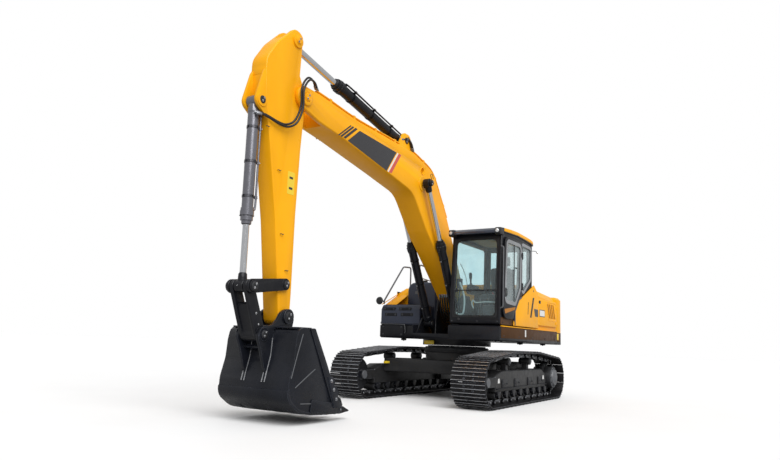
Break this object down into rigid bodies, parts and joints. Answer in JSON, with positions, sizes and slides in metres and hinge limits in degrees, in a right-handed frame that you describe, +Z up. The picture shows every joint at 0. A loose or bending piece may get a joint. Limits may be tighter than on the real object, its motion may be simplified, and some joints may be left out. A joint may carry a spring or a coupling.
{
  "type": "crawler excavator",
  "caption": "Crawler excavator with a turning upperstructure, operator cab, boom, arm and bucket moved by hydraulic cylinders, standing on steel tracks.",
  "frame": {"origin": "on the ground, under the middle of the whole machine as parked, between the tracks", "axes": "+Z up, -Y ahead towards the bucket, +X to the cab side (the machine's left)"},
  "size_m": [2.98, 8.95, 5.1099],
  "materials": {
    "yellow_paint": "satin orange-yellow machine paint",
    "black_paint": "satin near-black paint",
    "dark_steel": "near-black painted steel with a navy tint",
    "cast_metal": "rough dark casting",
    "chrome_rod": "polished hard chrome",
    "window_glass": "clear, faintly green",
    "slate_paint": "satin slate blue-grey",
    "seat_cover": "woven black cover",
    "gunmetal": "semi-gloss gunmetal grey"
  },
  "bodies": {
    "undercarriage": {"x_frame": "black_paint", "swing_bearing": "cast_metal", "track_frame_left": "black_paint", "track_frame_right": "black_paint", "track_left": "dark_steel", "track_right": "dark_steel", "idler_left": "cast_metal", "idler_right": "cast_metal", "sprocket_left": "cast_metal", "sprocket_right": "cast_metal"},
    "upperstructure": {"revolving_frame": "black_paint", "engine_housing": "yellow_paint", "counterweight": "yellow_paint", "engine_block": "cast_metal", "cab_shell": "black_paint", "windshield": "window_glass", "cab_right_window": "window_glass", "cab_quarter_window": "window_glass", "cab_rear_window": "window_glass", "operator_seat": "seat_cover", "control_console": "black_paint", "left_fairing": "yellow_paint", "fuel_tank": "slate_paint", "hydraulic_tank": "yellow_paint", "front_toolbox": "slate_paint", "right_handrail": "black_paint", "exhaust_pipe": "cast_metal"},
    "boom": {"boom": "yellow_paint"},
    "arm": {"arm": "yellow_paint"},
    "bucket": {"bucket": "dark_steel"},
    "guide_link": {"guide_link": "black_paint"},
    "push_link": {"push_link": "black_paint"},
    "boom_barrel_left": {"boom_cylinder_left": "black_paint"},
    "boom_rod_left": {"boom_rod_left": "chrome_rod"},
    "boom_barrel_right": {"boom_cylinder_right": "black_paint"},
    "boom_rod_right": {"boom_rod_right": "chrome_rod"},
    "arm_barrel": {"arm_cylinder": "black_paint"},
    "arm_rod": {"arm_rod": "chrome_rod"},
    "bucket_barrel": {"bucket_cylinder": "gunmetal"},
    "bucket_rod": {"bucket_rod": "chrome_rod"},
    "cab_door": {"cab_door": "black_paint", "cab_door_glass": "window_glass"},
    "left_side_door": {"left_side_door": "yellow_paint"},
    "right_side_door": {"right_side_door": "yellow_paint"},
    "engine_hood": {"engine_hood": "yellow_paint"}
  },
  "joints": [
    {"name": "swing", "type": "hinge", "parent": "undercarriage", "child": "upperstructure", "pos_m": [0, 1.65, 0.99], "axis": [0, 0, 1], "continuous": true},
    {"name": "boom_lift", "type": "hinge", "parent": "upperstructure", "child": "boom", "pos_m": [0, 1.5, 1.77], "axis": [-1, 0, 0], "range_deg": [-65, 32]},
    {"name": "arm_crowd", "type": "hinge", "parent": "boom", "child": "arm", "pos_m": [0, -3.62, 4.21], "axis": [1, 0, 0], "range_deg": [-70, 45]},
    {"name": "bucket_curl", "type": "hinge", "parent": "arm", "child": "bucket", "pos_m": [0, -3.73, 1.29], "axis": [1, 0, 0], "range_deg": [-70, 65]},
    {"name": "guide_link_swing", "type": "hinge", "parent": "arm", "child": "guide_link", "pos_m": [0, -3.79, 1.69], "axis": [1, 0, 0], "range_deg": [-59.66, 55.44]},
    {"name": "push_link_swing", "type": "hinge", "parent": "bucket", "child": "push_link", "pos_m": [0, -4.15, 1.06], "axis": [1, 0, 0], "range_deg": [-42.37, 45.59]},
    {"name": "boom_barrel_left_tilt", "type": "hinge", "parent": "upperstructure", "child": "boom_barrel_left", "pos_m": [0.3, 1.03, 1.4], "axis": [-1, 0, 0], "range_deg": [-67.34, 33.41]},
    {"name": "boom_rod_left_slide", "type": "slide", "parent": "boom_barrel_left", "child": "boom_rod_left", "axis": [0, -0.4878, 0.8729], "range_m": [-0.589, 0.291]},
    {"name": "boom_barrel_right_tilt", "type": "hinge", "parent": "upperstructure", "child": "boom_barrel_right", "pos_m": [-0.3, 1.03, 1.4], "axis": [-1, 0, 0], "range_deg": [-67.34, 33.41]},
    {"name": "boom_rod_right_slide", "type": "slide", "parent": "boom_barrel_right", "child": "boom_rod_right", "axis": [0, -0.4878, 0.8729], "range_m": [-0.589, 0.291]},
    {"name": "arm_barrel_tilt", "type": "hinge", "parent": "boom", "child": "arm_barrel", "pos_m": [0, -0.8, 4.43], "axis": [1, 0, 0], "range_deg": [-3.44, 2.39]},
    {"name": "arm_rod_slide", "type": "slide", "parent": "arm_barrel", "child": "arm_rod", "axis": [0, -0.9845, 0.1751], "range_m": [-0.813, 0.524]},
    {"name": "bucket_barrel_tilt", "type": "hinge", "parent": "arm", "child": "bucket_barrel", "pos_m": [0, -4.38, 3.93], "axis": [1, 0, 0], "range_deg": [-1.32, 1.39]},
    {"name": "bucket_rod_slide", "type": "slide", "parent": "bucket_barrel", "child": "bucket_rod", "axis": [0, 0, -1], "range_m": [-0.529, 0.492]},
    {"name": "cab_door_hinge", "type": "hinge", "parent": "upperstructure", "child": "cab_door", "pos_m": [1.404, 1.435, 1.38], "axis": [0, 0, 1], "range_deg": [0, 100]},
    {"name": "left_side_door_hinge", "type": "hinge", "parent": "upperstructure", "child": "left_side_door", "pos_m": [1.396, 3.59, 1.44], "axis": [0, 0, 1], "range_deg": [0, 100]},
    {"name": "right_side_door_hinge", "type": "hinge", "parent": "upperstructure", "child": "right_side_door", "pos_m": [-1.396, 3.59, 1.44], "axis": [0, 0, -1], "range_deg": [0, 100]},
    {"name": "engine_hood_hinge", "type": "hinge", "parent": "upperstructure", "child": "engine_hood", "pos_m": [0, 3.55, 2.112], "axis": [-1, 0, 0], "range_deg": [0, 60]}
  ],
  "couplings": [
    {"joint": "guide_link_swing", "follows": "bucket_curl", "ratio": 0.8452},
    {"joint": "push_link_swing", "follows": "bucket_curl", "ratio": -0.6441},
    {"joint": "boom_barrel_left_tilt", "follows": "boom_lift", "ratio": 1.0283},
    {"joint": "boom_rod_left_slide", "follows": "boom_lift", "m_per_rad": 0.5178},
    {"joint": "boom_barrel_right_tilt", "follows": "boom_lift", "ratio": 1.0283},
    {"joint": "boom_rod_right_slide", "follows": "boom_lift", "m_per_rad": 0.5178},
    {"joint": "arm_barrel_tilt", "follows": "arm_crowd", "ratio": 0.042},
    {"joint": "arm_rod_slide", "follows": "arm_crowd", "m_per_rad": 0.6641},
    {"joint": "bucket_barrel_tilt", "follows": "bucket_curl", "ratio": -0.0127},
    {"joint": "bucket_rod_slide", "follows": "bucket_curl", "m_per_rad": 0.4317}
  ]
}
